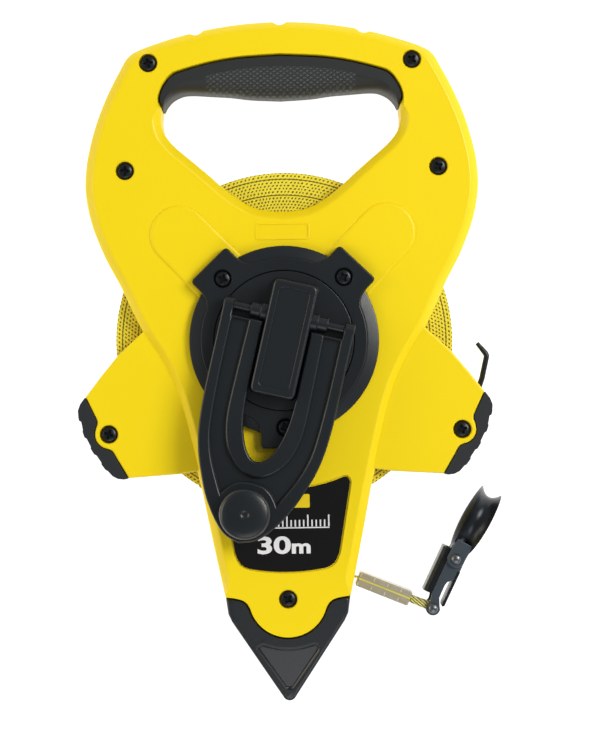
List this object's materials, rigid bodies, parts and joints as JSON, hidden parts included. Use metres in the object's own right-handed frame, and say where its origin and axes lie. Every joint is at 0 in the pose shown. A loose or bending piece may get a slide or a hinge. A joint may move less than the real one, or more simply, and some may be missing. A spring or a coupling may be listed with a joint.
{
  "type": "surveyor tape reel",
  "caption": "Open-frame long measuring tape on a hand-held frame with a top handle, folding geared crank, ground spike and tape hook with finger ring.",
  "frame": {"origin": "on the reel axis, at the rear face of the frame, where the reel lies on its back", "axes": "+Z along the reel axis towards the crank, +Y towards the handle, +X towards the side that the tape leaves"},
  "size_m": [0.1883, 0.302, 0.0697],
  "materials": {
    "yellow_abs": "fine-textured moulded ABS, satin",
    "charcoal_abs": "moulded, satin",
    "black_rubber": "moulded soft rubber, matt",
    "black_steel": "black oxide, semi-gloss",
    "bright_steel": "turned",
    "white_acetal": "moulded",
    "tape_fabric": "coated fibreglass tape, printed",
    "clear_vinyl": "clear, slightly smoky",
    "label_film": "printed film, gloss"
  },
  "bodies": {
    "case": {"rear_shell": "yellow_abs", "front_shell": "yellow_abs", "handle_grip": "black_rubber", "left_lug_pad": "black_rubber", "right_lug_pad": "black_rubber", "ground_spike": "charcoal_abs", "label_plate": "label_film", "gear_cover": "charcoal_abs", "ring_gear": "charcoal_abs", "reel_axle": "bright_steel", "tape_guide_pin": "bright_steel", "ring_stow_hook": "black_steel", "tape_end": "tape_fabric", "tape_sleeve": "clear_vinyl", "case_screw_1": "black_steel", "case_screw_2": "black_steel", "case_screw_3": "black_steel", "case_screw_4": "black_steel", "case_screw_5": "black_steel", "case_screw_6": "black_steel", "case_screw_7": "black_steel", "gear_cover_screw_1": "black_steel", "gear_cover_screw_2": "black_steel", "gear_cover_screw_3": "black_steel"},
    "spool": {"spool_core": "white_acetal", "wound_tape": "tape_fabric", "sun_gear": "white_acetal"},
    "crank_hub": {"planet_carrier": "charcoal_abs", "crank_bar": "charcoal_abs", "planet_pin_1": "bright_steel", "planet_pin_2": "bright_steel", "planet_pin_3": "bright_steel"},
    "planet_1": {"planet_gear_1": "white_acetal"},
    "planet_2": {"planet_gear_2": "white_acetal"},
    "planet_3": {"planet_gear_3": "white_acetal"},
    "crank_arm": {"crank_arm": "charcoal_abs", "knob_spindle": "bright_steel"},
    "crank_knob": {"crank_knob": "charcoal_abs"},
    "hook_link": {"hook_link": "black_steel", "link_rivet": "black_steel", "ring_rivet": "black_steel"},
    "finger_ring": {"finger_ring": "black_steel"}
  },
  "joints": [
    {"name": "crank_spin", "type": "hinge", "parent": "case", "child": "crank_hub", "pos_m": [0, 0, 0.035], "axis": [0, 0, 1], "continuous": true},
    {"name": "spool_spin", "type": "hinge", "parent": "case", "child": "spool", "pos_m": [0, 0, 0.016], "axis": [0, 0, 1], "continuous": true},
    {"name": "planet_1_spin", "type": "hinge", "parent": "crank_hub", "child": "planet_1", "pos_m": [0, 0.0225, 0.028], "axis": [0, 0, 1], "continuous": true},
    {"name": "planet_2_spin", "type": "hinge", "parent": "crank_hub", "child": "planet_2", "pos_m": [-0.01949, -0.01125, 0.028], "axis": [0, 0, 1], "continuous": true},
    {"name": "planet_3_spin", "type": "hinge", "parent": "crank_hub", "child": "planet_3", "pos_m": [0.01949, -0.01125, 0.028], "axis": [0, 0, 1], "continuous": true},
    {"name": "crank_fold", "type": "hinge", "parent": "crank_hub", "child": "crank_arm", "pos_m": [0.00245, 0.01021, 0.0415], "axis": [-0.9724, 0.2334, 0], "range_deg": [0, 160]},
    {"name": "knob_spin", "type": "hinge", "parent": "crank_arm", "child": "crank_knob", "pos_m": [-0.01795, -0.07477, 0.055], "axis": [0, 0, 1], "continuous": true},
    {"name": "hook_swing", "type": "hinge", "parent": "case", "child": "hook_link", "pos_m": [0.0644, -0.1201, 0.016], "axis": [0, 0, 1], "range_deg": [-120, 30]},
    {"name": "ring_swing", "type": "hinge", "parent": "hook_link", "child": "finger_ring", "pos_m": [0.0749, -0.09818, 0.016], "axis": [0, 0, 1], "range_deg": [-60, 15]}
  ],
  "couplings": [
    {"joint": "spool_spin", "follows": "crank_spin", "ratio": 3},
    {"joint": "planet_1_spin", "follows": "crank_spin", "ratio": -4},
    {"joint": "planet_2_spin", "follows": "crank_spin", "ratio": -4},
    {"joint": "planet_3_spin", "follows": "crank_spin", "ratio": -4}
  ]
}
